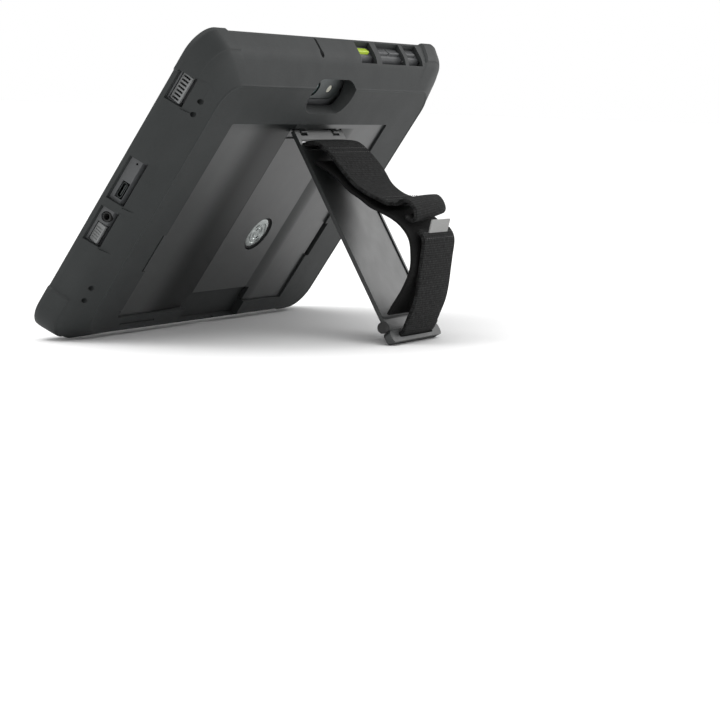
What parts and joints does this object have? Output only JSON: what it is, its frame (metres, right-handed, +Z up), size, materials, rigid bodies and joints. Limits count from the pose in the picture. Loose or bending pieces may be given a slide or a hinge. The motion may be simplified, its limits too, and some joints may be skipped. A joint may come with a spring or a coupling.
{
  "type": "rugged field tablet",
  "caption": "Rugged tablet used as a field data collector, in a soft protective case with a fold-out kickstand that carries a hand strap.",
  "frame": {"origin": "centre of the footprint on the ground, with the tablet leaning on its open kickstand", "axes": "+X along the tablet's long edge; +Z up; the kickstand and strap are on the -Y side and the screen faces +Y"},
  "size_m": [0.2772, 0.1708, 0.1661],
  "materials": {
    "soft_shell": "matt moulded",
    "glossy_panel": "polished",
    "stand_plastic": "satin",
    "grey_band": "matt",
    "blue_pad": "matt",
    "foam": "open cell",
    "bright_metal": "brushed",
    "webbing": "ribbed weave",
    "foot_rubber": "matt",
    "tablet_housing": "fine texture",
    "screen_glass": "polished dark",
    "board_green": "solder mask",
    "lime_key": "satin",
    "tag_fabric": "woven",
    "battery_wrap": "film",
    "lens_plastic": "clear"
  },
  "bodies": {
    "case": {"case_shell": "soft_shell", "back_panel": "glossy_panel", "stiffening_frame": "grey_band", "corner_pad_1": "blue_pad", "corner_pad_2": "blue_pad", "corner_pad_3": "blue_pad", "corner_pad_4": "blue_pad", "foam_pad": "foam", "panel_rivet_1": "bright_metal", "panel_rivet_2": "bright_metal", "latch_disc": "bright_metal", "latch_ring": "foot_rubber", "hinge_lug_left": "stand_plastic", "hinge_lug_right": "stand_plastic", "hinge_pin": "bright_metal"},
    "stand": {"kickstand_plate": "stand_plastic", "foot_bar": "stand_plastic", "foot_cap_left": "foot_rubber", "foot_cap_right": "foot_rubber", "strap_anchor_bar": "bright_metal", "strap_upper_band": "webbing", "strap_fold": "webbing", "strap_liner": "webbing", "strap_lower_webbing": "webbing", "strap_tag": "tag_fabric"},
    "tablet": {"rear_housing": "tablet_housing", "front_bezel": "tablet_housing", "cover_glass": "screen_glass", "display_module": "battery_wrap", "chassis_plate": "bright_metal", "battery": "battery_wrap", "mainboard": "board_green", "rear_camera": "battery_wrap", "camera_ring": "bright_metal", "camera_window": "screen_glass", "flash_window": "lens_plastic", "front_camera": "battery_wrap", "speaker_grille": "tablet_housing", "speaker_box_upper": "battery_wrap", "speaker_box_lower": "battery_wrap", "usb_c_port": "bright_metal", "audio_jack": "battery_wrap", "card_door": "tablet_housing", "button_board": "board_green", "vibration_motor": "bright_metal", "housing_screw_1": "bright_metal", "housing_screw_2": "bright_metal", "housing_screw_3": "bright_metal", "housing_screw_4": "bright_metal"},
    "program_key": {"program_button": "lime_key"},
    "volume_down_key": {"volume_down_button": "tablet_housing"},
    "volume_up_key": {"volume_up_button": "tablet_housing"},
    "power_key": {"power_button": "tablet_housing"}
  },
  "joints": [
    {"name": "kickstand_hinge", "type": "hinge", "parent": "case", "child": "stand", "pos_m": [0.0084, -0.00638, 0.11258], "axis": [1, 0, 0], "range_deg": [0, 63.5]},
    {"name": "tablet_lift_out", "type": "slide", "parent": "case", "child": "tablet", "axis": [0, 0.8389, 0.5443], "range_m": [0, 0.05]},
    {"name": "program_press", "type": "slide", "parent": "tablet", "child": "program_key", "axis": [0, 0.5443, -0.8389], "range_m": [0, 0.0006], "stiffness_N_per_m": 800},
    {"name": "volume_down_press", "type": "slide", "parent": "tablet", "child": "volume_down_key", "axis": [0, 0.5443, -0.8389], "range_m": [0, 0.0006], "stiffness_N_per_m": 800},
    {"name": "volume_up_press", "type": "slide", "parent": "tablet", "child": "volume_up_key", "axis": [0, 0.5443, -0.8389], "range_m": [0, 0.0006], "stiffness_N_per_m": 800},
    {"name": "power_press", "type": "slide", "parent": "tablet", "child": "power_key", "axis": [0, 0.5443, -0.8389], "range_m": [0, 0.0006], "stiffness_N_per_m": 800}
  ]
}
